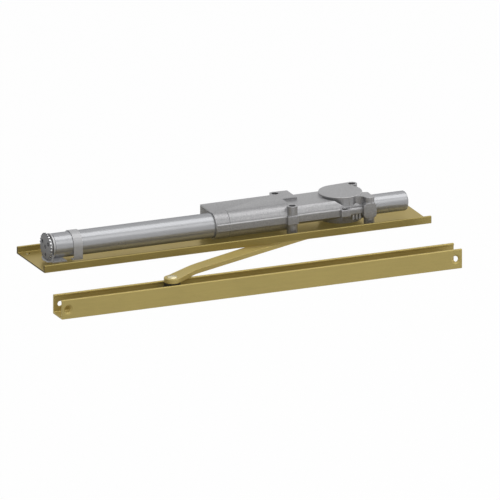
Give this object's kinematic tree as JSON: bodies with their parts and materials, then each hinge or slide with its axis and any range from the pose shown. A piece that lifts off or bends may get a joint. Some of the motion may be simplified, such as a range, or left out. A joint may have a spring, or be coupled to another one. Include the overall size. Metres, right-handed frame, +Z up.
{
  "type": "concealed door closer",
  "caption": "Concealed overhead door closer: a rack-and-pinion body with a spring tube on a cover plate, and a lever arm whose roller runs in a channel track.",
  "frame": {"origin": "centre of the cover plate's underside, which is the face seen from below in the doorway", "axes": "+X along the body towards its spindle end, +Y away from the door leaf's track, +Z up into the head of the door frame"},
  "size_m": [0.5452, 0.1735, 0.0764],
  "materials": {
    "gold_plate": "satin gold enamel on steel",
    "gold_arm": "satin gold enamel on a forging",
    "gold_track": "satin gold enamel on extruded metal",
    "casting": "painted casting",
    "tube_steel": "drawn steel tube",
    "sheet_steel": "pressed steel",
    "machined_steel": "machined",
    "spring_steel": "oiled spring steel",
    "bearing_bronze": "sintered bronze",
    "stud_metal": "plated and polished",
    "seal_rubber": "nitrile rubber",
    "roller_nylon": "black nylon"
  },
  "bodies": {
    "closer": {"cover_plate": "gold_plate", "housing": "casting", "spring_tube": "tube_steel", "tube_bush": "machined_steel", "tube_strap": "sheet_steel", "end_bracket": "sheet_steel", "end_tube": "tube_steel", "end_plug": "machined_steel", "rod_gland": "bearing_bronze", "gland_seal": "seal_rubber", "upper_bearing": "machined_steel", "lower_bearing": "machined_steel", "bearing_cap": "machined_steel", "spindle_seal": "seal_rubber", "main_spring": "spring_steel"},
    "adjuster": {"adjuster_cap": "sheet_steel", "adjuster_sleeve": "machined_steel"},
    "nut": {"adjusting_nut": "machined_steel"},
    "piston": {"piston": "machined_steel", "piston_seals": "seal_rubber", "piston_rod": "machined_steel", "rod_pin": "machined_steel", "spring_follower": "machined_steel", "check_ball": "machined_steel"},
    "sweep_screw": {"sweep_valve": "machined_steel"},
    "latch_screw": {"latch_valve": "machined_steel"},
    "backcheck_screw": {"backcheck_valve": "machined_steel"},
    "arm": {"spindle": "machined_steel", "arm": "gold_arm", "arm_screw": "machined_steel", "roller_stud": "stud_metal"},
    "roller": {"roller": "roller_nylon"},
    "track": {"track": "gold_track"}
  },
  "joints": [
    {"name": "arm_swing", "type": "hinge", "parent": "closer", "child": "arm", "pos_m": [0.1601, 0.00455, 0], "axis": [0, 0, 1], "range_deg": [-23.05, 125]},
    {"name": "piston_slide", "type": "slide", "parent": "closer", "child": "piston", "axis": [1, 0, 0], "range_m": [-0.0043, 0.023], "deforming": ["main_spring"]},
    {"name": "adjuster_turn", "type": "hinge", "parent": "closer", "child": "adjuster", "pos_m": [-0.245, -0.01185, 0.0237], "axis": [1, 0, 0], "continuous": true},
    {"name": "nut_turn", "type": "hinge", "parent": "piston", "child": "nut", "pos_m": [-0.218, -0.01185, 0.0237], "axis": [1, 0, 0], "continuous": true},
    {"name": "sweep_turn", "type": "hinge", "parent": "closer", "child": "sweep_screw", "pos_m": [0.1645, -0.0268, 0.02], "axis": [0, 0, 1], "range_deg": [-720, 360]},
    {"name": "latch_turn", "type": "hinge", "parent": "closer", "child": "latch_screw", "pos_m": [0.169, -0.0268, 0.02], "axis": [0, 0, 1], "range_deg": [-720, 360]},
    {"name": "backcheck_turn", "type": "hinge", "parent": "closer", "child": "backcheck_screw", "pos_m": [0.1735, -0.0268, 0.02], "axis": [0, 0, 1], "range_deg": [-720, 360]},
    {"name": "roller_pivot", "type": "hinge", "parent": "arm", "child": "roller", "pos_m": [-0.11968, -0.1145, -0.012], "axis": [0, 0, 1], "range_deg": [-30, 30]},
    {"name": "track_slide", "type": "slide", "parent": "roller", "child": "track", "axis": [1, 0, 0], "range_m": [-0.365, 0.132]}
  ],
  "couplings": [
    {"joint": "piston_slide", "follows": "arm_swing", "m_per_rad": 0.0105},
    {"joint": "nut_turn", "follows": "adjuster_turn", "ratio": 1}
  ]
}
